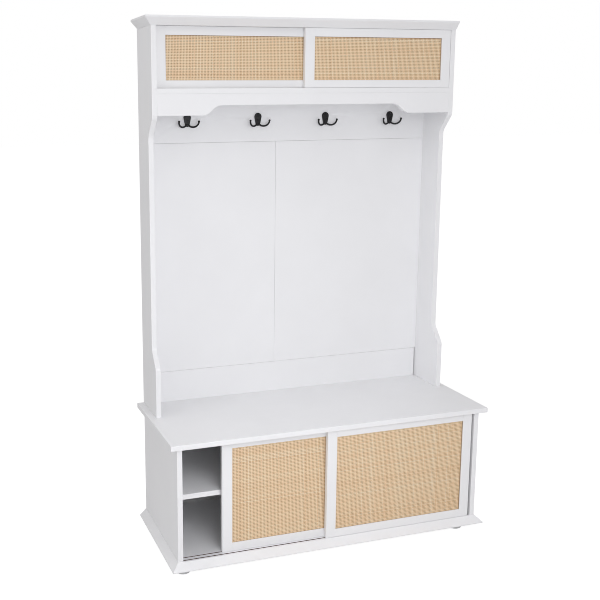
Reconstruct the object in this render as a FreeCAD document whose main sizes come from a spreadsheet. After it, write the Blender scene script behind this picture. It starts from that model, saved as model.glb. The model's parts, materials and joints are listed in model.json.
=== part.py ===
"""Hall tree with hooks: a storage bench with two sliding cane doors, a back with four double
hooks, and a shallow upper cabinet with two more sliding cane doors.

Frame: millimetres, +Z up, floor at z = 0. +X runs to the right and -Y is the front. The origin
is on the floor, at the middle of the object's bounding box. Depths are measured forwards from
the wall plane, which is half the overall depth behind the origin.
"""
import FreeCAD
import Part
import Sketcher
import math
import os

DIMENSIONS = {
    # overall
    "overall_width": 1200,
    "overall_depth": 466,
    "overall_height": 1845,
    "carcass_width": 1150,
    "board": 18,
    "hardboard": 4,
    "hardboard_inset": 2,
    # bench
    "bench_depth": 442,
    "bench_back": 8,
    "seat_depth": 460,
    "seat_height": 460,
    "seat_round": 2,
    "floor_panel_top": 39,
    "inner_front": 400,
    "inner_back": 12,
    "shelf_height": 260,
    # floor glides
    "glide_radius": 25,
    "glide_height": 12,
    "glide_stem_radius": 11,
    "glide_chamfer": 2,
    "glide_left": -555,
    "glide_right": 500,
    "glide_front": 430,
    "glide_rear": 45,
    # plinth and crown mouldings
    "trim_out": 24,
    "plinth_bottom": 14,
    "plinth_lip": 4,
    "plinth_rise": 26,
    "plinth_top_out": 1,
    "plinth_end": 8,
    "crown_lip": 6,
    "crown_rise": 30,
    "crown_foot_out": 2,
    "crown_end": 10,
    # hutch sides
    "hutch_depth": 190,
    "hutch_waist_depth": 136,
    "hutch_foot_depth": 185,
    "foot_slope_bottom": 638,
    "foot_slope_top": 697,
    "head_slope_bottom": 1450,
    "head_slope_top": 1511,
    "side_corner_round": 30,
    # hutch back
    "back_board": 15,
    "back_face": 22,
    "back_gap": 0.5,
    "rail_end_gap": 5,
    "hook_rail_bottom": 1420,
    "lower_rail_top": 576,
    "seam_place": -60,
    "batten_width": 60,
    "batten_depth": 6,
    # upper cabinet
    "upper_floor_top": 1610,
    "upper_roof_bottom": 1815,
    "apron_end_bottom": 1519,
    "apron_middle_bottom": 1553,
    "apron_slope_outer": 382,
    "apron_slope_inner": 343,
    "apron_round": 45,
    # sliding doors
    "door_width": 577,
    "door_thick": 16,
    "door_gap": 2,
    "door_floor_gap": 0.5,
    "door_head_gap": 0.5,
    "door_inset": 1.5,
    "door_side_play": 1,
    "stile_width": 36,
    "bench_bottom_rail": 30,
    "bench_top_rail": 27,
    "upper_bottom_rail": 26,
    "upper_top_rail": 29.5,
    "cane_recess": 4,
    "cane_thick": 2,
    "backer_thick": 3,
    "panel_groove_depth": 8,
    "panel_play": 0.5,
    "track_width": 4,
    "track_depth": 6,
    "guide_thick": 2.6,
    "guide_length": 40,
    "guide_drop": 4.5,
    "guide_rise": 5.5,
    "guide_inset": 60,
    "bench_left_door_place": -411,
    "bench_right_door_place": -29,
    # shelf pins
    "pin_radius": 2.5,
    "pin_length": 10,
    "pin_in_board": 7,
    "pin_front_inset": 50,
    # hooks
    "hook_pitch": 270,
    "hook_shift": 3,
    "hook_height": 1510,
    "hook_plate_radius": 13.5,
    "hook_plate_drop": 25,
    "hook_plate_foot_radius": 8.5,
    "hook_plate_thick": 5,
    "hook_arm_radius": 3.2,
    "hook_arm_root": 2,
    "hook_arm_root_out": 3.8,
    "hook_arm_span": 37,
    "hook_arm_low_span": 20,
    "hook_arm_drop": 34,
    "hook_arm_tip_drop": 14,
    "hook_arm_reach": 24,
    "hook_arm_low_reach": 10,
    "hook_tip_radius": 4,
    "screw_radius": 1.9,
    "screw_head_radius": 3.4,
    "screw_head_height": 2,
    "screw_length": 15,
    "screw_rise": 6,
    "screw_drop": 13,
}

doc = FreeCAD.newDocument("hall_tree")
sheet = doc.addObject("Spreadsheet::Sheet", "Dimensions")
for row, (alias, value) in enumerate(DIMENSIONS.items(), start=1):
    sheet.set(f"A{row}", alias)
    sheet.set(f"B{row}", str(value))
    sheet.setAlias(f"B{row}", alias)
doc.recompute()

nodes = []
NEAR = 0.01  # millimetres within which two places count as the same


def size(alias):
    """The value of one driving dimension, in millimetres."""
    return float(sheet.get(alias))


def bound(text):
    """An expression in which every driving dimension is read from the sheet."""
    words = []
    word = ""
    for character in text + " ":
        if character.isalnum() or character == "_":
            word += character
            continue
        words.append(f"Dimensions.{word}" if word in DIMENSIONS else word)
        words.append(character)
        word = ""
    return "".join(words).strip()


def value(text):
    """The number that an expression over the driving dimensions comes to."""
    sheet.set("D1", f"={text}")
    sheet.recompute()
    return float(sheet.get("D1"))


def keep(feature, label):
    """Marks a feature as one finished sub-part."""
    feature.Label = label
    nodes.append(feature)
    return feature


def box(name, across, depths, heights):
    """A box between two x values, two depths in front of the wall and two heights."""
    piece = doc.addObject("Part::Box", name)
    left, right = across
    back, front = depths
    bottom, top = heights
    piece.setExpression("Length", bound(f"({right}) - ({left})"))
    piece.setExpression("Width", bound(f"({front}) - ({back})"))
    piece.setExpression("Height", bound(f"({top}) - ({bottom})"))
    piece.setExpression("Placement.Base.x", bound(left))
    piece.setExpression("Placement.Base.y", bound(f"overall_depth / 2 - ({front})"))
    piece.setExpression("Placement.Base.z", bound(bottom))
    return piece


def cut(name, base, tools):
    """The base without its tools."""
    tool = tools[0]
    if len(tools) > 1:
        tool = doc.addObject("Part::MultiFuse", f"{name}_tools")
        tool.Shapes = tools
    piece = doc.addObject("Part::Cut", name)
    piece.Base = base
    piece.Tool = tool
    return piece


def cylinder(name, radius, height, place, tilt=None):
    """A cylinder from its foot's (x, depth, z), upright or turned by a rotation."""
    piece = doc.addObject("Part::Cylinder", name)
    x, depth, z = place
    if tilt:
        piece.Placement = FreeCAD.Placement(FreeCAD.Vector(), tilt)
    piece.setExpression("Radius", bound(radius))
    piece.setExpression("Height", bound(height))
    piece.setExpression("Placement.Base.x", bound(x))
    piece.setExpression("Placement.Base.y", bound(f"overall_depth / 2 - ({depth})"))
    piece.setExpression("Placement.Base.z", bound(z))
    return piece


def group(name, pieces):
    """Several separate solids kept as one sub-part."""
    whole = doc.addObject("Part::Compound", name)
    whole.Links = pieces
    return whole


def origin_plane(body, role):
    """One of a body's own three origin planes."""
    return next(plane for plane in body.Origin.OriginFeatures if plane.Role == role)


def outline(body, name, role, points):
    """A closed sketch of straight lines whose corners are bound to the sheet."""
    sketch = body.newObject("Sketcher::SketchObject", name)
    sketch.AttachmentSupport = [(origin_plane(body, role), "")]
    sketch.MapMode = "FlatFace"
    corners = [FreeCAD.Vector(value(u), value(v), 0) for u, v in points]
    for start, end in zip(corners, corners[1:] + corners[:1]):
        sketch.addGeometry(Part.LineSegment(start, end), False)
    for index, (u, v) in enumerate(points):
        following = (index + 1) % len(points)
        sketch.addConstraint(Sketcher.Constraint("Coincident", index, 2, following, 1))
        for kind, text in (("DistanceX", u), ("DistanceY", v)):
            place = sketch.addConstraint(Sketcher.Constraint(kind, -1, 1, index, 1, value(text)))
            sketch.setExpression(f"Constraints[{place}]", bound(text))
    return sketch


def revolved(name, points, place):
    """A turned piece whose half outline is given as (radius, z) corners."""
    body = doc.addObject("PartDesign::Body", name)
    sketch = outline(body, f"{name}_profile", "XZ_Plane", points)
    turn = body.newObject("PartDesign::Revolution", f"{name}_turn")
    turn.Profile = sketch
    turn.ReferenceAxis = (sketch, ["V_Axis"])
    turn.Angle = 360
    x, depth = place
    body.setExpression("Placement.Base.x", bound(x))
    body.setExpression("Placement.Base.y", bound(f"overall_depth / 2 - ({depth})"))
    return body


def padded(name, role, points, thickness):
    """A board cut to an outline in one of the origin planes."""
    body = doc.addObject("PartDesign::Body", name)
    sketch = outline(body, f"{name}_outline", role, points)
    pad = body.newObject("PartDesign::Pad", f"{name}_pad")
    pad.Profile = sketch
    pad.setExpression("Length", bound(thickness))
    return body, pad


def soften(body, base, radius, wanted):
    """Rounds the edges of a board whose middle points pass the test."""
    doc.recompute()
    names = []
    for index, edge in enumerate(base.Shape.Edges, start=1):
        if wanted(edge.CenterOfMass):
            names.append(f"Edge{index}")
    fillet = body.newObject("PartDesign::Fillet", f"{body.Name}_round")
    fillet.Base = (base, names)
    fillet.setExpression("Radius", bound(radius))
    return fillet


# ---------------------------------------------------------------- shared places

HALF = "carcass_width / 2"
INNER = "(carcass_width / 2 - board)"
SEAT_BOTTOM = "(seat_height - board)"
FLOOR_BOTTOM = "(floor_panel_top - board)"
SHELF_BOTTOM = "(shelf_height - board)"
UPPER_FLOOR_BOTTOM = "(upper_floor_top - board)"
UPPER_ROOF_TOP = "(upper_roof_bottom + board)"
BACK_REAR = "(back_face - back_board)"


def tracks(name, front_face, bottom, top):
    """The two grooves in which a front and a rear sliding door run."""
    grooves = []
    for index, step in enumerate(("0", "(door_thick + door_gap)")):
        centre = f"({front_face} - door_inset - door_thick / 2 - {step})"
        depths = (f"{centre} - track_width / 2", f"{centre} + track_width / 2")
        grooves.append(box(f"{name}_track_{index}", (f"-{INNER}", INNER), depths, (bottom, top)))
    return grooves


# ---------------------------------------------------------------- bench

def pin_holes(name, face, inwards):
    """The front and rear shelf pins of one board face, as cylinders along X."""
    holes = []
    along_x = FreeCAD.Rotation(FreeCAD.Vector(0, 1, 0), 90)
    start = f"({face}) - pin_in_board" if inwards > 0 else f"({face}) - (pin_length - pin_in_board)"
    rests = {"front": "inner_front - pin_front_inset", "rear": "inner_back + pin_front_inset"}
    for rest, depth in rests.items():
        place = (start, depth, f"{SHELF_BOTTOM} - pin_radius")
        holes.append(cylinder(f"{name}_{rest}", "pin_radius", "pin_length", place, along_x))
    return holes


def bench_boards():
    """Sides, floor, divider, shelves and back of the bench, with their shelf pins."""
    heights = (FLOOR_BOTTOM, SEAT_BOTTOM)
    depths = ("bench_back", "bench_depth")
    inner_depths = ("inner_back", "inner_front")
    pins = []

    for side, across, face, inwards in (
        ("left", (f"-{HALF}", f"-{INNER}"), f"-{INNER}", 1),
        ("right", (INNER, HALF), INNER, -1),
    ):
        own_pins = pin_holes(f"pin_{side}", face, inwards)
        board = box(f"side_{side}", across, depths, heights)
        keep(cut(f"side_{side}_drilled", board, own_pins), f"bench_side_{side}")
        pins += own_pins

    floor = box("floor_board", (f"-{INNER}", INNER), depths, (FLOOR_BOTTOM, "floor_panel_top"))
    floor_tracks = tracks("floor", "bench_depth", "floor_panel_top - track_depth", "floor_panel_top")
    keep(cut("floor_grooved", floor, floor_tracks), "bench_floor")

    divider_pins = pin_holes("pin_divider_left", "-board / 2", -1)
    divider_pins += pin_holes("pin_divider_right", "board / 2", 1)
    divider = box("divider", ("-board / 2", "board / 2"), inner_depths, ("floor_panel_top", SEAT_BOTTOM))
    keep(cut("divider_drilled", divider, divider_pins), "bench_divider")
    pins += divider_pins

    shelf_heights = (SHELF_BOTTOM, "shelf_height")
    keep(box("shelf_l", (f"-{INNER}", "-board / 2"), inner_depths, shelf_heights), "shelf_left")
    keep(box("shelf_r", ("board / 2", INNER), inner_depths, shelf_heights), "shelf_right")
    keep(group("pins", pins), "shelf_pins")

    back_across = (f"-{HALF} + hardboard_inset", f"{HALF} - hardboard_inset")
    back_depths = ("bench_back - hardboard", "bench_back")
    keep(box("back_sheet", back_across, back_depths, heights), "bench_back_panel")


def seat():
    """The seat board, rounded on its three open sides, with the upper door tracks beneath."""
    board = box("seat_board", ("-overall_width / 2", "overall_width / 2"), ("0", "seat_depth"),
                (SEAT_BOTTOM, "seat_height"))
    doc.recompute()
    radius = size("seat_round")
    rear = size("overall_depth") / 2
    middle = size("seat_height") - size("board") / 2
    rounded = doc.addObject("Part::Fillet", "seat_rounded")
    rounded.Base = board
    rounded.Edges = [
        (index, radius, radius)
        for index, edge in enumerate(board.Shape.Edges, start=1)
        if abs(edge.CenterOfMass.z - middle) > NEAR and edge.CenterOfMass.y < rear - NEAR
    ]
    grooves = tracks("seat", "bench_depth", SEAT_BOTTOM, f"{SEAT_BOTTOM} + track_depth")
    keep(cut("seat_grooved", rounded, grooves), "seat_top")


def glides():
    """Five turned glides: one near each corner and one under the divider."""
    outline_points = [
        ("0", "0"),
        ("glide_radius - glide_chamfer", "0"),
        ("glide_radius", "glide_chamfer"),
        ("glide_radius", "glide_height - glide_chamfer"),
        ("glide_radius - glide_chamfer", "glide_height"),
        ("glide_stem_radius", "glide_height"),
        ("glide_stem_radius", FLOOR_BOTTOM),
        ("0", FLOOR_BOTTOM),
    ]
    places = {
        "front_left": ("glide_left", "glide_front"),
        "front_right": ("glide_right", "glide_front"),
        "rear_left": ("glide_left", "glide_rear"),
        "rear_right": ("glide_right", "glide_rear"),
        "middle": ("0", "(glide_front + glide_rear) / 2"),
    }
    turned = [revolved(f"glide_{name}", outline_points, place) for name, place in places.items()]
    keep(group("glide_set", turned), "floor_glides")


# ---------------------------------------------------------------- mouldings

def moulding(name, section, ends):
    """A moulding between two mitred or square ends.

    The section is a list of (out, z) corners, and each end turns an out distance into (x, y).
    """
    wires = []
    for end in ends:
        corners = [FreeCAD.Vector(*end(out), z) for out, z in section]
        wires.append(Part.makePolygon(corners + corners[:1]))
    piece = doc.addObject("Part::Feature", name)
    piece.Shape = Part.makeLoft(wires, True, True)
    return keep(piece, name)


def moulding_ring(name, section, front_depth, end_depth, right_return=True):
    """The front and end lengths of one moulding, mitred at the front corners.

    Without its right return, the front length is sawn off flush with the right side.
    """
    half = size("carcass_width") / 2
    wall = size("overall_depth") / 2
    front = wall - front_depth

    def corner(side):
        return lambda out: (side * (half + out), front - out)

    def square_end(side):
        return lambda out: (side * (half + out), wall - end_depth)

    def flush_end(out):
        return half, front - out

    right_end = corner(1) if right_return else flush_end
    moulding(f"{name}_front", section, (corner(-1), right_end))
    moulding(f"{name}_left", section, (square_end(-1), corner(-1)))
    if right_return:
        moulding(f"{name}_right", section, (square_end(1), corner(1)))


def plinth():
    """The skirting that flares out towards the floor."""
    out = size("trim_out")
    bottom = size("plinth_bottom")
    top = bottom + size("plinth_rise")
    section = [
        (0, bottom),
        (out, bottom),
        (out, bottom + size("plinth_lip")),
        (size("plinth_top_out"), top),
        (0, top),
    ]
    moulding_ring("plinth", section, size("bench_depth"), size("plinth_end"))


def crown():
    """The cornice that flares out towards the top, with no return on the right side."""
    out = size("trim_out")
    top = size("overall_height")
    bottom = top - size("crown_rise")
    section = [
        (0, bottom),
        (size("crown_foot_out"), bottom),
        (out, top - size("crown_lip")),
        (out, top),
        (0, top),
    ]
    moulding_ring("crown", section, size("hutch_depth"), size("crown_end"), right_return=False)


# ---------------------------------------------------------------- hutch

def hutch_sides():
    """The two shaped sides: deep at the head and the foot, with a narrow waist between."""
    wall = "overall_depth / 2"
    profile = [
        (wall, "seat_height"),
        (wall, UPPER_ROOF_TOP),
        (f"{wall} - hutch_depth", UPPER_ROOF_TOP),
        (f"{wall} - hutch_depth", "head_slope_top"),
        (f"{wall} - hutch_waist_depth", "head_slope_bottom"),
        (f"{wall} - hutch_waist_depth", "foot_slope_top"),
        (f"{wall} - hutch_foot_depth", "foot_slope_bottom"),
        (f"{wall} - hutch_foot_depth", "seat_height"),
    ]
    bends = [size(alias) for alias in (
        "foot_slope_bottom", "foot_slope_top", "head_slope_bottom", "head_slope_top")]
    for side, left in (("left", f"-{HALF}"), ("right", INNER)):
        body, pad = padded(f"hutch_{side}", "YZ_Plane", profile, "board")
        soften(body, pad, "side_corner_round", lambda point: min(
            abs(point.z - bend) for bend in bends) < NEAR)
        body.setExpression("Placement.Base.x", bound(left))
        keep(body, f"hutch_side_{side}")


def hutch_back():
    """Hook rail, two panels and lower rail, flush in front, with a batten behind the seam."""
    depths = (BACK_REAR, "back_face")
    hook_rail = box("hook_board", (f"-{INNER}", INNER), depths, ("hook_rail_bottom", UPPER_FLOOR_BOTTOM))
    keep(cut("hook_board_drilled", hook_rail, screw_shafts()), "hook_rail")
    keep(box("low_board", (f"-{INNER}", f"{INNER} - rail_end_gap"), depths,
             ("seat_height", "lower_rail_top")), "lower_rail")
    heights = ("lower_rail_top + back_gap", "hook_rail_bottom - back_gap")
    keep(box("panel_l", (f"-{INNER}", "seam_place - back_gap / 2"), depths, heights),
         "back_panel_left")
    keep(box("panel_r", ("seam_place + back_gap / 2", INNER), depths, heights),
         "back_panel_right")
    keep(box("batten", ("seam_place - batten_width / 2", "seam_place + batten_width / 2"),
             (f"{BACK_REAR} - batten_depth", BACK_REAR), ("seat_height", UPPER_FLOOR_BOTTOM)),
         "seam_batten")


def upper_boards():
    """Floor, roof and back of the upper cabinet."""
    across = (f"-{INNER}", INNER)
    depths = (BACK_REAR, "hutch_depth")
    floor = box("upper_floor_board", across, depths, (UPPER_FLOOR_BOTTOM, "upper_floor_top"))
    floor_tracks = tracks("upper_floor", "hutch_depth", "upper_floor_top - track_depth", "upper_floor_top")
    keep(cut("upper_floor_grooved", floor, floor_tracks), "upper_floor")
    roof = box("upper_roof_board", across, depths, ("upper_roof_bottom", UPPER_ROOF_TOP))
    roof_tracks = tracks("upper_roof", "hutch_depth", "upper_roof_bottom", "upper_roof_bottom + track_depth")
    keep(cut("upper_roof_grooved", roof, roof_tracks), "upper_roof")
    keep(box("upper_back_sheet", across, (BACK_REAR, f"{BACK_REAR} + hardboard"),
             ("upper_floor_top", "upper_roof_bottom")), "upper_back_panel")


def apron():
    """The valance below the upper cabinet: deep ends and a raised middle with soft steps."""
    profile = [
        (f"-{INNER}", UPPER_FLOOR_BOTTOM),
        (f"-{INNER}", "apron_end_bottom"),
        ("-apron_slope_outer", "apron_end_bottom"),
        ("-apron_slope_inner", "apron_middle_bottom"),
        ("apron_slope_inner", "apron_middle_bottom"),
        ("apron_slope_outer", "apron_end_bottom"),
        (INNER, "apron_end_bottom"),
        (INNER, UPPER_FLOOR_BOTTOM),
    ]
    body, pad = padded("valance", "XZ_Plane", profile, "board")
    bends = (size("apron_slope_outer"), size("apron_slope_inner"))
    soften(body, pad, "apron_round", lambda point: min(
        abs(abs(point.x) - bend) for bend in bends) < NEAR)
    body.setExpression("Placement.Base.y", bound("overall_depth / 2 - hutch_depth + board"))
    keep(body, "apron")


# ---------------------------------------------------------------- hooks

def hook_places():
    """The x place of each of the four hooks, left to right."""
    return [size("hook_pitch") * step + size("hook_shift") for step in (-1.5, -0.5, 0.5, 1.5)]


def screw_places():
    """The (x, z) place of each hook screw: one high and one low in every plate."""
    heights = (size("hook_height") + size("screw_rise"), size("hook_height") - size("screw_drop"))
    return [(x, z) for x in hook_places() for z in heights]


def screw_shafts():
    """The shafts of the hook screws, along Y, from the plate's front into the hook rail."""
    into_rail = FreeCAD.Rotation(FreeCAD.Vector(1, 0, 0), -90)
    shafts = []
    for index, (x, z) in enumerate(screw_places()):
        place = (str(x), "back_face + hook_plate_thick", str(z))
        shafts.append(cylinder(f"shaft_{index}", "screw_radius", "screw_length", place, into_rail))
    return shafts


def hook_screws():
    """Eight screws, each a shaft with a low round head."""
    into_rail = FreeCAD.Rotation(FreeCAD.Vector(1, 0, 0), -90)
    screws = []
    for index, (x, z) in enumerate(screw_places()):
        place = (str(x), "back_face + hook_plate_thick + screw_head_height", str(z))
        head = cylinder(f"head_{index}", "screw_head_radius", "screw_head_height", place, into_rail)
        screw = doc.addObject("Part::Fuse", f"screw_{index}")
        screw.Base = doc.getObject(f"shaft_{index}")
        screw.Tool = head
        screws.append(screw)
    keep(group("screw_set", screws), "hook_screws")


def plate_face(x, y, z):
    """The pear outline of a hook plate: a large and a small circle joined by their tangents."""
    large = size("hook_plate_radius")
    small = size("hook_plate_foot_radius")
    drop = size("hook_plate_drop")
    lean = math.asin((large - small) / drop)

    def rim(radius, centre_z, angle):
        return FreeCAD.Vector(x + radius * math.cos(angle), y, centre_z + radius * math.sin(angle))

    right_high = rim(large, z, -lean)
    left_high = rim(large, z, math.pi + lean)
    right_low = rim(small, z - drop, -lean)
    left_low = rim(small, z - drop, math.pi + lean)
    edges = [
        Part.Arc(right_high, rim(large, z, math.pi / 2), left_high).toShape(),
        Part.makeLine(left_high, left_low),
        Part.Arc(left_low, rim(small, z - drop, -math.pi / 2), right_low).toShape(),
        Part.makeLine(right_low, right_high),
    ]
    return Part.Face(Part.Wire(edges))


def hook_arm(x, y, z, side):
    """One arm: a round bar bent out, down and up again, with a ball at its tip."""
    start = FreeCAD.Vector(
        x + side * size("hook_arm_root"),
        y - size("hook_arm_root_out"),
        z - size("hook_plate_drop"),
    )
    low = FreeCAD.Vector(
        x + side * size("hook_arm_low_span"),
        y - size("hook_arm_low_reach"),
        z - size("hook_arm_drop"),
    )
    tip = FreeCAD.Vector(
        x + side * size("hook_arm_span"),
        y - size("hook_arm_reach"),
        z - size("hook_arm_tip_drop"),
    )
    path = Part.Arc(start, low, tip).toShape()
    direction = path.tangentAt(path.FirstParameter)
    section = Part.Wire(Part.makeCircle(size("hook_arm_radius"), start, direction))
    bar = Part.Wire(path).makePipeShell([section], True, False)
    return bar.fuse(Part.makeSphere(size("hook_tip_radius"), tip))


def hooks():
    """Four cast double hooks, each one solid, drilled for its two screws."""
    face_y = size("overall_depth") / 2 - size("back_face")
    thick = size("hook_plate_thick")
    z = size("hook_height")
    for number, x in enumerate(hook_places(), start=1):
        plate = plate_face(x, face_y, z).extrude(FreeCAD.Vector(0, -thick, 0))
        front_edges = [edge for edge in plate.Edges if abs(edge.BoundBox.YMax - (face_y - thick)) < NEAR]
        casting = plate.makeFillet(size("hook_arm_radius") / 2, front_edges)
        for side in (-1, 1):
            casting = casting.fuse(hook_arm(x, face_y, z, side))
        for screw_x, screw_z in screw_places():
            if abs(screw_x - x) < NEAR:
                foot = FreeCAD.Vector(screw_x, face_y, screw_z)
                casting = casting.cut(Part.makeCylinder(
                    size("screw_radius"), thick, foot, FreeCAD.Vector(0, -1, 0)))
        hook = doc.addObject("Part::Feature", f"hook_{number}")
        hook.Shape = casting.removeSplitter()
        keep(hook, f"coat_hook_{number}")


# ---------------------------------------------------------------- sliding doors

def guides(name, left, right, centre, bottom, top):
    """Four plastic fins, two below and two above the door, that run in its tracks."""
    fins = []
    depths = (f"{centre} - guide_thick / 2", f"{centre} + guide_thick / 2")
    starts = (f"{left} + guide_inset", f"{right} - guide_inset - guide_length")
    spans = ((f"{bottom} - guide_drop", bottom), (top, f"{top} + guide_rise"))
    for index, start in enumerate(starts):
        for level, heights in zip(("low", "high"), spans):
            across = (start, f"{start} + guide_length")
            fins.append(box(f"{name}_{level}_fin_{index}", across, depths, heights))
    keep(group(f"{name}_fins", fins), f"{name}_guides")


def sliding_door(name, left, face, bottom, top, rails):
    """One door: two stiles, two rails, a cane sheet on a backing board, and its guides."""
    right = f"({left} + door_width)"
    inner_left = f"({left} + stile_width)"
    inner_right = f"({right} - stile_width)"
    low_rail, high_rail = rails
    inner_bottom = f"({bottom} + {low_rail})"
    inner_top = f"({top} - {high_rail})"
    depths = (f"{face} - door_thick", face)

    groove_front = f"({face} - cane_recess + panel_play)"
    groove_back = f"({face} - cane_recess - cane_thick - backer_thick - panel_play)"
    groove = box(f"{name}_groove",
                 (f"{inner_left} - panel_groove_depth", f"{inner_right} + panel_groove_depth"),
                 (groove_back, groove_front),
                 (f"{inner_bottom} - panel_groove_depth", f"{inner_top} + panel_groove_depth"))
    frame = {
        "left_stile": ((left, inner_left), (bottom, top)),
        "right_stile": ((inner_right, right), (bottom, top)),
        "bottom_rail": ((inner_left, inner_right), (bottom, inner_bottom)),
        "top_rail": ((inner_left, inner_right), (inner_top, top)),
    }
    for part, (across, heights) in frame.items():
        blank = box(f"{name}_{part}_blank", across, depths, heights)
        keep(cut(f"{name}_{part}_cut", blank, [groove]), f"{name}_{part}")

    reach = "(panel_groove_depth - 2 * panel_play)"
    across = (f"{inner_left} - {reach}", f"{inner_right} + {reach}")
    heights = (f"{inner_bottom} - {reach}", f"{inner_top} + {reach}")
    cane_back = f"({face} - cane_recess - cane_thick)"
    cane_depths = (cane_back, f"{face} - cane_recess")
    backer_depths = (f"{cane_back} - backer_thick", cane_back)
    keep(box(f"{name}_cane_sheet", across, cane_depths, heights), f"{name}_cane")
    keep(box(f"{name}_backer_sheet", across, backer_depths, heights), f"{name}_backer")
    guides(name, left, right, f"({face} - door_thick / 2)", bottom, top)


def doors():
    """The four sliding doors: the left ones run in the rear tracks, the right ones in front."""
    bench_front = "(bench_depth - door_inset)"
    upper_front = "(hutch_depth - door_inset)"
    rear_step = "(door_thick + door_gap)"
    bench_heights = ("(floor_panel_top + door_floor_gap)", f"({SEAT_BOTTOM} - door_gap)")
    upper_heights = ("(upper_floor_top + door_floor_gap)", "(upper_roof_bottom - door_head_gap)")
    bench_rails = ("bench_bottom_rail", "bench_top_rail")
    upper_rails = ("upper_bottom_rail", "upper_top_rail")
    sliding_door("bench_left_door", "bench_left_door_place", f"({bench_front} - {rear_step})",
                 *bench_heights, bench_rails)
    sliding_door("bench_right_door", "bench_right_door_place", bench_front,
                 *bench_heights, bench_rails)
    sliding_door("upper_left_door", f"(-{INNER} + door_side_play)", f"({upper_front} - {rear_step})",
                 *upper_heights, upper_rails)
    sliding_door("upper_right_door", f"({INNER} - door_side_play - door_width)", upper_front,
                 *upper_heights, upper_rails)


def check():
    """Stops at a failed feature or an empty or invalid sub-part."""
    doc.recompute()
    for feature in doc.Objects:
        if "Invalid" in feature.State or "Error" in feature.State:
            raise RuntimeError(f"{feature.Label} failed: {feature.State}")
    for node in nodes:
        if node.Shape.isNull() or not node.Shape.isValid() or node.Shape.Volume <= 0:
            raise RuntimeError(f"{node.Label} has no valid solid")


def write():
    """Writes one STEP file per sub-part."""
    os.makedirs("parts", exist_ok=True)
    for node in nodes:
        node.Shape.exportStep(f"parts/{node.Label}.step")
    print(f"{len(nodes)} sub-parts")


bench_boards()
seat()
glides()
plinth()
crown()
hutch_sides()
hutch_back()
upper_boards()
apron()
hooks()
hook_screws()
doors()
check()
write()
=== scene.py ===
"""Looks of the hall tree: lacquered boards with softened edges, woven cane, cast hooks.

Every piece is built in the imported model's own frame, in metres, and rides on its CAD body.
"""
import bmesh
import bpy
import json
import math
import numpy as np
from mathutils import Matrix, Vector


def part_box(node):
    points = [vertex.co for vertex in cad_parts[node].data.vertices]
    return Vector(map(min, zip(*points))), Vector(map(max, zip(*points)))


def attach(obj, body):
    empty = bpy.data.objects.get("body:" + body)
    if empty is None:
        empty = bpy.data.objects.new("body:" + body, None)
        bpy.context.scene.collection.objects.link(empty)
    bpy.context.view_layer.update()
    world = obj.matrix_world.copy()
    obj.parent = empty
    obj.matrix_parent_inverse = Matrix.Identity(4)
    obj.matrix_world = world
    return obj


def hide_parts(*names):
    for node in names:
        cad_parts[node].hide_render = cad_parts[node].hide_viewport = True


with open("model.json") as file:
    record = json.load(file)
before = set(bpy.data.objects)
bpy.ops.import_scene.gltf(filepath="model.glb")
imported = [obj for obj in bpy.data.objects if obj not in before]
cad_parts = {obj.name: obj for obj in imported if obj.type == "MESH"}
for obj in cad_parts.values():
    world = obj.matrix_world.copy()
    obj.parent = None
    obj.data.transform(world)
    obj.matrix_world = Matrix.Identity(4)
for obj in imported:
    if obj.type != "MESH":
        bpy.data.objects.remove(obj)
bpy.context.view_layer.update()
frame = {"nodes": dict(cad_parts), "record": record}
scene = bpy.context.scene
SLOT_OF = {part["node"]: part["material_slot"] for part in frame["record"]["subparts"]}
BODY_OF = {
    node: body
    for body, nodes in frame["record"]["behaviour"]["bodies"].items()
    for node in nodes
}
DOORS = ("bench_left_door", "bench_right_door", "upper_left_door", "upper_right_door")
HOOK_NUMBERS = range(1, 5)
MM = 0.001


# ---------------------------------------------------------------- node helpers

def new_material(name, colour, roughness):
    """A material with one Principled shader, and its node tree."""
    material = bpy.data.materials.new(name)
    material.use_nodes = True
    shader = material.node_tree.nodes["Principled BSDF"]
    shader.inputs["Base Color"].default_value = (*colour, 1)
    shader.inputs["Roughness"].default_value = roughness
    return material, material.node_tree, shader


def add(tree, kind, **values):
    """A shader node with some of its input sockets set or linked."""
    node = tree.nodes.new(kind)
    for name, value in values.items():
        socket = node.inputs[name.replace("_", " ")]
        if isinstance(value, bpy.types.NodeSocket):
            tree.links.new(value, socket)
        else:
            socket.default_value = value
    return node


def place(tree, stretch=(1, 1, 1)):
    """The piece's own coordinates in metres, stretched along each axis."""
    coordinates = tree.nodes.new("ShaderNodeTexCoord")
    mapping = add(tree, "ShaderNodeMapping", Vector=coordinates.outputs["Object"])
    mapping.inputs["Scale"].default_value = stretch
    return mapping.outputs["Vector"]


def noise(tree, vector, scale, detail=2.0, rough=0.5):
    """A noise between 0 and 1 over the given coordinates."""
    node = add(tree, "ShaderNodeTexNoise", Vector=vector, Scale=scale, Detail=detail, Roughness=rough)
    return node.outputs["Fac"]


def ramp(tree, factor, stops):
    """Colours blended along a factor, given as (position, colour) stops."""
    node = tree.nodes.new("ShaderNodeValToRGB")
    elements = node.color_ramp.elements
    while len(elements) < len(stops):
        elements.new(0.5)
    for element, (position, colour) in zip(elements, stops):
        element.position = position
        element.color = (*colour, 1)
    tree.links.new(factor, node.inputs["Fac"])
    return node.outputs["Color"]


def remap(tree, factor, low, high):
    """A factor from 0.3 to 0.7 spread over low to high."""
    node = add(tree, "ShaderNodeMapRange", Value=factor)
    node.inputs["From Min"].default_value = 0.3
    node.inputs["From Max"].default_value = 0.7
    node.inputs["To Min"].default_value = low
    node.inputs["To Max"].default_value = high
    return node.outputs["Result"]


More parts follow.
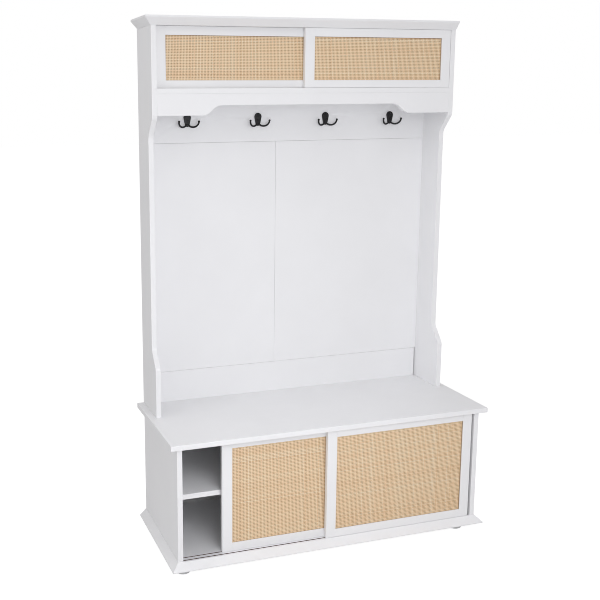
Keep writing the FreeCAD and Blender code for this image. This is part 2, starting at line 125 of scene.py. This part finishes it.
def darkened(tree, colour, factor, tint):
    """A colour multiplied by a tint as far as the factor says."""
    mix = add(tree, "ShaderNodeMix")
    mix.data_type = "RGBA"
    mix.blend_type = "MULTIPLY"
    tree.links.new(factor, mix.inputs["Factor"])
    tree.links.new(colour, mix.inputs["A"])
    mix.inputs["B"].default_value = (*tint, 1)
    return mix.outputs["Result"]


def bump(tree, shader, height, distance):
    """Raises the surface by a height map times a distance in metres."""
    node = add(tree, "ShaderNodeBump", Height=height, Distance=distance, Strength=1.0)
    tree.links.new(node.outputs["Normal"], shader.inputs["Normal"])


def shade(colour, factor):
    """A colour made lighter or darker."""
    return tuple(min(1.0, channel * factor) for channel in colour)


# ---------------------------------------------------------------- materials

def lacquer(name, colour, roughness):
    """Painted board: faint blotches, a satin sheen and the fine ripple of sprayed lacquer."""
    material, tree, shader = new_material(name, colour, roughness)
    blotches = noise(tree, place(tree), scale=5.0, detail=4.0)
    tint = ramp(tree, blotches, [(0.3, shade(colour, 0.985)), (0.7, shade(colour, 1.012))])
    tree.links.new(tint, shader.inputs["Base Color"])
    clouds = noise(tree, place(tree), scale=18.0, detail=3.0)
    sheen = remap(tree, clouds, roughness - 0.05, roughness + 0.06)
    tree.links.new(sheen, shader.inputs["Roughness"])
    bump(tree, shader, noise(tree, place(tree), scale=700.0), 0.03 * MM)
    return material


def raw_board(name):
    """The brown fibre core that shows where a groove is cut through the lacquer."""
    colour = (0.09, 0.045, 0.04)
    material, tree, shader = new_material(name, colour, 0.85)
    fibres = noise(tree, place(tree, (0.15, 1, 1)), scale=900.0, detail=5.0, rough=0.7)
    tint = ramp(tree, fibres, [(0.3, shade(colour, 0.7)), (0.7, shade(colour, 1.35))])
    tree.links.new(tint, shader.inputs["Base Color"])
    bump(tree, shader, fibres, 0.1 * MM)
    return material


def hardboard(name, colour):
    """Thin coated back board with a faint fibre print."""
    material, tree, shader = new_material(name, colour, 0.6)
    fibres = noise(tree, place(tree), scale=260.0, detail=5.0, rough=0.65)
    tint = ramp(tree, fibres, [(0.3, shade(colour, 0.96)), (0.7, shade(colour, 1.02))])
    tree.links.new(tint, shader.inputs["Base Color"])
    bump(tree, shader, fibres, 0.06 * MM)
    return material


STREAK_SCALE = (40, 900, 1)  # streaks are long along the fibre and fine across it
STREAK_WEIGHT = 0.55  # how much the streaks count beside a strand's own tone
HONEY = (
    (0.10, (0.85, 0.60, 0.37)),
    (0.50, (0.98, 0.77, 0.53)),
    (0.85, (1.00, 0.85, 0.62)),
    (1.00, (1.00, 0.89, 0.70)),
)
WEAVE_SHADE_TINT = (0.71, 0.61, 0.51)  # painted shade of the weave: multiplies the honey where the weave's shade is 1
FRAME_SHADOW_TINT = (0.42, 0.36, 0.32)  # painted shadow of the frame: multiplies it where the frame's shadow is 1


def cane(name):
    """Split cane strands: each its own honey tone, streaked along the fibre, with shade painted at their
    edges.

    The strand attribute holds the strand's tone, the painted shade of the weave and the painted shadow
    of the frame.
    """
    material, tree, shader = new_material(name, (0.95, 0.75, 0.50), 0.48)
    strand = tree.nodes.new("ShaderNodeAttribute")
    strand.attribute_name = "strand"
    parts = add(tree, "ShaderNodeSeparateColor", Color=strand.outputs["Color"])
    tone, weave_shade, frame_shadow = (parts.outputs[channel] for channel in ("Red", "Green", "Blue"))
    uv = tree.nodes.new("ShaderNodeUVMap")
    uv.uv_map = "fibre"
    along = add(tree, "ShaderNodeMapping", Vector=uv.outputs["UV"])
    along.inputs["Scale"].default_value = STREAK_SCALE
    streaks = noise(tree, along.outputs["Vector"], scale=1.0, detail=4.0, rough=0.6)
    blend = add(tree, "ShaderNodeMath")
    blend.operation = "MULTIPLY_ADD"
    tree.links.new(streaks, blend.inputs[0])
    blend.inputs[1].default_value = STREAK_WEIGHT
    tree.links.new(tone, blend.inputs[2])
    honey = ramp(tree, blend.outputs["Value"], HONEY)
    # painted shade of the weave, multiplied into the honey
    woven = darkened(tree, honey, weave_shade, WEAVE_SHADE_TINT)
    # painted shadow of the frame, multiplied into the cane's colour
    framed = darkened(tree, woven, frame_shadow, FRAME_SHADOW_TINT)
    tree.links.new(framed, shader.inputs["Base Color"])
    bump(tree, shader, streaks, 0.12 * MM)
    return material


def backing(name):
    """The brown board behind the cane."""
    colour = (0.28, 0.175, 0.10)
    material, tree, shader = new_material(name, colour, 0.8)
    grain = noise(tree, place(tree, (0.1, 1, 1)), scale=500.0, detail=4.0, rough=0.6)
    tint = ramp(tree, grain, [(0.3, shade(colour, 0.75)), (0.7, shade(colour, 1.3))])
    tree.links.new(tint, shader.inputs["Base Color"])
    bump(tree, shader, grain, 0.1 * MM)
    return material


def black_iron(name, roughness):
    """Satin black paint over a slightly pitted casting, greyer where it is handled."""
    colour = (0.008, 0.008, 0.009)
    material, tree, shader = new_material(name, colour, roughness)
    shader.inputs["Specular IOR Level"].default_value = 0.3
    wear = noise(tree, place(tree), scale=160.0, detail=4.0, rough=0.6)
    tint = ramp(tree, wear, [(0.35, colour), (0.75, shade(colour, 2.2))])
    tree.links.new(tint, shader.inputs["Base Color"])
    sheen = remap(tree, noise(tree, place(tree), scale=420.0), roughness - 0.06, roughness + 0.1)
    tree.links.new(sheen, shader.inputs["Roughness"])
    bump(tree, shader, noise(tree, place(tree), scale=1400.0, detail=3.0), 0.04 * MM)
    return material


def plastic(name, colour):
    """Moulded plastic with a fine spark-eroded texture."""
    material, tree, shader = new_material(name, colour, 0.5)
    cloud = noise(tree, place(tree), scale=60.0)
    tint = ramp(tree, cloud, [(0.3, shade(colour, 0.97)), (0.7, shade(colour, 1.02))])
    tree.links.new(tint, shader.inputs["Base Color"])
    bump(tree, shader, noise(tree, place(tree), scale=2500.0), 0.03 * MM)
    return material


def steel(name):
    """Plated steel with turning marks."""
    colour = (0.55, 0.55, 0.56)
    material, tree, shader = new_material(name, colour, 0.32)
    shader.inputs["Metallic"].default_value = 1.0
    marks = noise(tree, place(tree, (6, 1, 1)), scale=900.0)
    tint = ramp(tree, marks, [(0.3, shade(colour, 0.9)), (0.7, shade(colour, 1.1))])
    tree.links.new(tint, shader.inputs["Base Color"])
    bump(tree, shader, marks, 0.02 * MM)
    return material


WHITE = (0.845, 0.846, 0.857)
FINISHES = {
    "white_lacquer": lacquer("white_lacquer", WHITE, 0.42),
    "white_hardboard": hardboard("white_hardboard", (0.76, 0.76, 0.765)),
    "cane": cane("woven_cane"),
    "backing_board": backing("backing_board"),
    "black_iron": black_iron("black_iron", 0.38),
    "black_screw": black_iron("black_screw", 0.3),
    "white_plastic": plastic("white_plastic", (0.55, 0.55, 0.55)),
    "pin_steel": steel("pin_steel"),
}
RAW = raw_board("raw_board")


# ---------------------------------------------------------------- pieces

WELD_DISTANCE = 0.01 * MM
FLAT_ANGLE = math.radians(0.3)  # faces that meet flatter than this are joined
SHARP_ANGLE = math.radians(40)  # edges sharper than this are rounded
GROOVED = ("bench_floor", "seat_top", "upper_floor", "upper_roof")
EDGE_WIDTHS = {
    "white_lacquer": 0.7 * MM,
    "white_hardboard": 0.3 * MM,
    "backing_board": 0.2 * MM,
    "white_plastic": 0.5 * MM,
    "pin_steel": 0.4 * MM,
}


def finish_piece(piece, *nodes):
    """Gives a piece the material of the slot and the body of the CAD nodes that it stands for."""
    slot = SLOT_OF[nodes[0]]
    if not piece.data.materials:
        piece.data.materials.append(FINISHES[slot])
    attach(piece, BODY_OF[nodes[0]])
    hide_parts(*nodes)
    return piece


def new_piece(name, mesh):
    """A linked object for a mesh."""
    piece = bpy.data.objects.new(name, mesh)
    scene.collection.objects.link(piece)
    return piece


def welded(node):
    """A CAD node's mesh with its seams joined and its flat faces whole, as a bmesh."""
    shape = bmesh.new()
    shape.from_mesh(frame["nodes"][node].data)
    bmesh.ops.remove_doubles(shape, verts=shape.verts, dist=WELD_DISTANCE)
    bmesh.ops.dissolve_limit(shape, angle_limit=FLAT_ANGLE, verts=shape.verts, edges=shape.edges)
    return shape


def softened(node, width, grooved):
    """A board with softly rounded edges, and raw faces inside its grooves if it has any."""
    shape = welded(node)
    mesh = bpy.data.meshes.new(f"{node}_shaped")
    mesh.materials.append(FINISHES[SLOT_OF[node]])
    if grooved:
        mesh.materials.append(RAW)
        low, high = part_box(node)
        for face in shape.faces:
            centre = face.calc_center_median()
            if all(low[axis] + MM < centre[axis] < high[axis] - MM for axis in range(3)):
                face.material_index = 1
    for face in shape.faces:
        face.smooth = True
    shape.to_mesh(mesh)
    shape.free()
    piece = new_piece(f"{node}_shaped", mesh)
    bevel = piece.modifiers.new("soft_edges", "BEVEL")
    bevel.width = width
    bevel.segments = 3
    bevel.limit_method = "ANGLE"
    bevel.angle_limit = SHARP_ANGLE
    bevel.harden_normals = True
    mesh.set_sharp_from_angle(angle=SHARP_ANGLE)
    return finish_piece(piece, node)


def boards():
    """Every board, moulding, glide, guide and pin, with edges as soft as the real ones."""
    for node in frame["nodes"]:
        slot = SLOT_OF[node]
        if slot in EDGE_WIDTHS:
            softened(node, EDGE_WIDTHS[slot], node in GROOVED)


# ---------------------------------------------------------------- woven cane

COLUMN_PITCH = 5.23 * MM
ROW_PITCH = 5.11 * MM
STRAND_WIDTH = 3.4 * MM
WIDTH_SPREAD = (0.94, 1.05)  # the narrowest and widest strand, against the usual width
STRAND_WANDER = 0.06 * MM  # the standard deviation of a strand from its place
STRAND_RISE = 0.2 * MM  # how far a strand's middle plane rises or sinks at a crossing
STRAND_CROWN = 0.18 * MM  # how far a strand's ridge stands above its edges
HIDDEN_BORDER = 7 * MM  # the edge of the sheet that lies in the frame's groove
TONE_MEAN = 0.42  # a strand's tone runs from 0, the darkest honey, to TONE_MOST
TONE_SPREAD = 0.17
TONE_MOST = 0.75
RIDGE_SHADE = 0.75  # the painted shade on a strand's ridge halfway between two crossings; its edges have 1
CREVICE = 1.5 * MM  # how fast the painted shadow in the corner against the frame fades
FIBRE_OFFSETS = (0, 10)  # where a strand's streaks start, in metres, so that no two are alike


def strand_centres(low, high, pitch, gap):
    """The centres of the strands between two edges, laid so that a gap falls at a given place."""
    first = math.ceil((low + STRAND_WIDTH / 2 - gap) / pitch - 0.5)
    last = math.floor((high - STRAND_WIDTH / 2 - gap) / pitch - 0.5)
    return gap + (np.arange(first, last + 1) + 0.5) * pitch


def strand_ridges(centre, width, crossings, first, ends):
    """One strand over and under its crossings: rows of (along, across, out) for its three ridges."""
    between = (crossings[:-1] + crossings[1:]) / 2
    along = np.empty(2 * len(crossings) + 1)
    along[0], along[-1] = ends
    along[1::2] = crossings
    along[2:-1:2] = between
    out = np.zeros(len(along))
    out[1::2] = np.where((np.arange(len(crossings)) + first) % 2 == 0, STRAND_RISE, -STRAND_RISE)
    ridges = np.array(((-width / 2, 0.0), (0.0, STRAND_CROWN), (width / 2, 0.0)))
    rows = np.empty((len(along), len(ridges), 3))
    rows[..., 0] = along[:, None]
    rows[..., 1] = centre + ridges[:, 0]
    rows[..., 2] = out[:, None] + ridges[:, 1]
    return rows


def frame_shade(x, z, low, high):
    """How close each point of the web lies to the frame at its sides and top, from 0 to 1: the strength
    of the painted shadow there.
    """
    sides = np.minimum(x - low.x, high.x - x)
    gap = np.minimum(sides, high.z - z) - HIDDEN_BORDER
    return np.exp(-np.maximum(gap, 0) / CREVICE)


def strand_faces(length, corner, upright):
    """The faces of a strand whose first vertex has the given number."""
    near = corner + 3 * np.arange(length - 1)[:, None] + np.arange(2)[None, :]
    faces = np.stack([near, near + 1, near + 4, near + 3], axis=-1).reshape(-1, 4)
    return faces[:, ::-1] if upright else faces


def strand_shades(x, z, tone, low, high):
    """The tone, painted weave shade and painted frame shadow of each point of a strand."""
    # painted shade: full at a strand's edges, RIDGE_SHADE on its ridge between crossings, none at the
    # crossings
    weave_shade = np.ones(x.shape)
    weave_shade[:, 1] = RIDGE_SHADE
    weave_shade[1::2, 1] = 0.0
    # painted shadow of the frame, strongest close to its sides and top
    frame_shadow = frame_shade(x, z, low, high)
    return np.stack([np.full(x.shape, tone), weave_shade, frame_shadow], axis=-1)


def web_mesh(name, points, faces, shades, fibres):
    """A mesh of all the strands of a web, with their tones and painted shades and their places along the
    fibre.
    """
    points, shades, fibres = (
        np.concatenate([strand.reshape(-1, strand.shape[-1]) for strand in strands])
        for strands in (points, shades, fibres)
    )
    quads = np.concatenate(faces)
    mesh = bpy.data.meshes.new(name)
    mesh.from_pydata(points.tolist(), [], quads.tolist())
    colours = np.ones((len(points), 4), np.float32)
    colours[:, :3] = shades
    strand_layer = mesh.color_attributes.new("strand", "FLOAT_COLOR", "POINT")
    strand_layer.data.foreach_set("color", colours.ravel())
    fibre_layer = mesh.uv_layers.new(name="fibre")
    fibre_layer.data.foreach_set("uv", fibres[quads.ravel()].astype(np.float32).ravel())
    mesh.polygons.foreach_set("use_smooth", np.ones(len(quads), bool))
    mesh.update()
    return mesh


def cane_web(door, rng):
    """The woven panel of one door: flat strands both ways, each over one and under the next."""
    node = f"{door}_cane"
    low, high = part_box(node)
    hole = COLUMN_PITCH - STRAND_WIDTH
    columns = strand_centres(low.x, high.x, COLUMN_PITCH, low.x + HIDDEN_BORDER + hole / 2)
    rows = strand_centres(low.z, high.z, ROW_PITCH, high.z - HIDDEN_BORDER - hole / 2)
    middle = (low.y + high.y) / 2
    points, faces, shades, fibres = [], [], [], []
    count = 0
    for upright, centres, crossings, ends in (
        (True, columns, rows, (low.z, high.z)),
        (False, rows, columns, (low.x, high.x)),
    ):
        for index, centre in enumerate(centres):
            shift = rng.normal(0, STRAND_WANDER)
            width = STRAND_WIDTH * rng.uniform(*WIDTH_SPREAD)
            strand = strand_ridges(centre + shift, width, crossings, index + (not upright), ends)
            along, across, out = np.moveaxis(strand, -1, 0)
            x, z = (across, along) if upright else (along, across)
            tone = np.clip(rng.normal(TONE_MEAN, TONE_SPREAD), 0.0, TONE_MOST)
            points.append(np.stack([x, middle - out, z], axis=-1))
            faces.append(strand_faces(len(strand), count, upright))
            shades.append(strand_shades(x, z, tone, low, high))
            fibres.append(np.stack([along, across], axis=-1) + rng.uniform(*FIBRE_OFFSETS))
            count += across.size
    mesh = web_mesh(f"{door}_web", points, faces, shades, fibres)
    return finish_piece(new_piece(f"{door}_web", mesh), node)


# ---------------------------------------------------------------- hooks

VOXEL = 0.6 * MM  # the grain of the casting's surface
SCREW_RADIUS = 3.3 * MM
SCREW_HEIGHT = 1.9 * MM
RECESS_DEPTH = 1.1 * MM
RECESS_HALF_WIDTH = 0.42 * MM
RECESS_REACH = 0.62 * SCREW_RADIUS
SCREW_STEPS = 30  # grid cells across one screw head
SCREW_TURNS = (0.3, 1.1, 0.7, 0.1, 0.9, 0.45, 1.3, 0.2)  # how each recess is turned, in radians
CAD_HEAD_RADIUS = 3.4 * MM
CAD_HEAD_HEIGHT = 2 * MM


def cast_hook(number):
    """A cast double hook: the arms flow into the plate with soft fillets."""
    node = f"coat_hook_{number}"
    shape = welded(node)
    mesh = bpy.data.meshes.new(f"{node}_cast")
    shape.to_mesh(mesh)
    shape.free()
    piece = new_piece(f"{node}_cast", mesh)
    remesh = piece.modifiers.new("casting", "REMESH")
    remesh.mode = "VOXEL"
    remesh.voxel_size = VOXEL
    remesh.use_smooth_shade = True
    smooth = piece.modifiers.new("fillets", "SMOOTH")
    smooth.factor = 0.5
    smooth.iterations = 4
    return finish_piece(piece, node)


def screw_point(u, v, turn):
    """The point of a screw head that stands for a place on the square from -1 to 1."""
    x = SCREW_RADIUS * u * math.sqrt(1 - v * v / 2)
    z = SCREW_RADIUS * v * math.sqrt(1 - u * u / 2)
    reach = min(1.0, math.hypot(x, z) / SCREW_RADIUS)
    out = SCREW_HEIGHT * math.sqrt(max(0.0, 1 - reach ** 3))
    turned_x = x * math.cos(turn) + z * math.sin(turn)
    turned_z = z * math.cos(turn) - x * math.sin(turn)
    in_cross = min(abs(turned_x), abs(turned_z)) < RECESS_HALF_WIDTH
    if in_cross and math.hypot(x, z) < RECESS_REACH:
        out -= RECESS_DEPTH
    return Vector((x, -out, z))


def screw_head(shape, centre, turn):
    """A low pan head with a cross recess, added to a bmesh at a place on the plate."""
    steps = [2 * step / SCREW_STEPS - 1 for step in range(SCREW_STEPS + 1)]
    grid = [[shape.verts.new(centre + screw_point(u, v, turn)) for u in steps] for v in steps]
    for near, far in zip(grid, grid[1:]):
        for column in range(SCREW_STEPS):
            shape.faces.new((near[column], near[column + 1], far[column + 1], far[column]))


def hook_screws():
    """The two screws of every hook plate."""
    node = "hook_screws"
    low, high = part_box(node)
    heights = (low.z + CAD_HEAD_RADIUS, high.z - CAD_HEAD_RADIUS)
    hook_boxes = [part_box(f"coat_hook_{number}") for number in HOOK_NUMBERS]
    places = [(box, z) for box in hook_boxes for z in heights]
    shape = bmesh.new()
    for ((hook_low, hook_high), z), turn in zip(places, SCREW_TURNS):
        x = (hook_low.x + hook_high.x) / 2
        screw_head(shape, Vector((x, low.y + CAD_HEAD_HEIGHT, z)), turn)
    for face in shape.faces:
        face.smooth = True
    mesh = bpy.data.meshes.new("hook_screw_heads")
    shape.to_mesh(mesh)
    shape.free()
    mesh.set_sharp_from_angle(angle=math.radians(50))
    return finish_piece(new_piece("hook_screw_heads", mesh), node)


# ---------------------------------------------------------------- stage

CAMERA_PLACE = (-1.3466, -2.8959, 1.5649)
CAMERA_YAW = math.radians(-17.146)
CAMERA_PITCH = math.radians(-10.232)
CAMERA_ROLL = math.radians(-0.482)
FLOOR_HALF = 30  # metres
FLOOR_DROP = 0.2 * MM  # how far the floor lies under the glides
FLOOR_SHOWN = (0.25, 0.25, 0.25)  # dark, so that the contact shadow stays faint
FLOOR_GLOW = 0.9
FLOOR_LIT = (0.8, 0.8, 0.8)  # what the floor's own light on the furniture comes from
LAMP_COOL = (0.95, 0.96, 1)  # the faint blue of the front lamps


def camera():
    """A camera close to the photograph's, standing to the left of the middle at eye height.

    Its shift is smaller than the photograph's own, because every other view keeps the shift.
    """
    data = bpy.data.cameras.new("camera")
    data.sensor_width = 36
    data.lens = 53.89
    data.shift_x = 0.180
    data.shift_y = -0.060
    viewer = bpy.data.objects.new("camera", data)
    scene.collection.objects.link(viewer)
    right = Vector((math.cos(CAMERA_YAW), math.sin(CAMERA_YAW), 0))
    level = Vector((-math.sin(CAMERA_YAW), math.cos(CAMERA_YAW), 0))
    ahead = level * math.cos(CAMERA_PITCH) + Vector((0, 0, math.sin(CAMERA_PITCH)))
    up = right.cross(ahead)
    turned_right = right * math.cos(CAMERA_ROLL) + up * math.sin(CAMERA_ROLL)
    turned_up = up * math.cos(CAMERA_ROLL) - right * math.sin(CAMERA_ROLL)
    turn = Matrix((turned_right, turned_up, -ahead)).transposed()
    viewer.matrix_world = Matrix.Translation(CAMERA_PLACE) @ turn.to_4x4()
    scene.camera = viewer


def blend_by_path(tree, lighting, shown, output):
    """One shader for what is seen directly, another for the light that it gives."""
    path = tree.nodes.new("ShaderNodeLightPath")
    mix = tree.nodes.new("ShaderNodeMixShader")
    tree.links.new(path.outputs["Is Camera Ray"], mix.inputs["Fac"])
    tree.links.new(lighting, mix.inputs[1])
    tree.links.new(shown, mix.inputs[2])
    tree.links.new(mix.outputs["Shader"], output.inputs["Surface"])


def floor():
    """A wide white floor that shows a faint contact shadow, and returns less light than it shows."""
    mesh = bpy.data.meshes.new("floor")
    corners = [(-1, -1), (1, -1), (1, 1), (-1, 1)]
    points = [(x * FLOOR_HALF, y * FLOOR_HALF, -FLOOR_DROP) for x, y in corners]
    mesh.from_pydata(points, [], [(0, 1, 2, 3)])
    plane = new_piece("floor", mesh)
    material, tree, shown = new_material("floor", FLOOR_SHOWN, 1.0)
    shown.inputs["Specular IOR Level"].default_value = 0.0
    shown.inputs["Emission Color"].default_value = (1, 1, 1, 1)
    shown.inputs["Emission Strength"].default_value = FLOOR_GLOW
    lit = add(tree, "ShaderNodeBsdfDiffuse", Color=(*FLOOR_LIT, 1))
    blend_by_path(tree, lit.outputs["BSDF"], shown.outputs["BSDF"], tree.nodes["Material Output"])
    mesh.materials.append(material)


def area_light(name, position, target, size, power, colour=(1, 1, 1)):
    """A square soft lamp, aimed at a target and unseen by the camera: metres and watts."""
    data = bpy.data.lights.new(name, "AREA")
    data.shape = "SQUARE"
    data.size = size
    data.energy = power
    data.color = colour
    lamp = bpy.data.objects.new(name, data)
    scene.collection.objects.link(lamp)
    lamp.location = position
    lamp.rotation_euler = (Vector(target) - Vector(position)).to_track_quat("-Z", "Y").to_euler()
    lamp.visible_camera = False


def studio():
    """White surroundings and soft lamps in front, above and to the left.

    The narrow pixel filter keeps the fine mesh of the cane crisp.
    """
    world = bpy.data.worlds.new("studio")
    scene.world = world
    world.use_nodes = True
    tree = world.node_tree
    tree.nodes.clear()
    output = tree.nodes.new("ShaderNodeOutputWorld")
    seen = add(tree, "ShaderNodeBackground", Color=(1, 1, 1, 1), Strength=1.0)
    given = add(tree, "ShaderNodeBackground", Color=(1, 0.99, 0.995, 1), Strength=0.60)
    blend_by_path(tree, given.outputs["Background"], seen.outputs["Background"], output)
    area_light("front", (-0.2, -2.2, 1.5), (0, 0, 0.8), size=1.2, power=10.1, colour=LAMP_COOL)
    area_light("front_low", (-0.45, -1.5, 1.0), (-0.1, -0.2, 0.3), size=0.8, power=4.7, colour=LAMP_COOL)
    area_light("left", (-3.2, -0.8, 2.6), (-0.575, 0, 1.6), size=1.5, power=15)
    area_light("top", (0.0, -1.0, 5.0), (0, 0, 0.5), size=3.0, power=4)
    area_light("high", (0.0, -4.0, 4.0), (0, 0, 0.5), size=2.5, power=14)
    scene.view_settings.view_transform = "Standard"
    scene.cycles.filter_width = 0.95


rng = np.random.default_rng(seed=7)
boards()
for name in DOORS:
    cane_web(name, rng)
for number in HOOK_NUMBERS:
    cast_hook(number)
hook_screws()
camera()
floor()
studio()
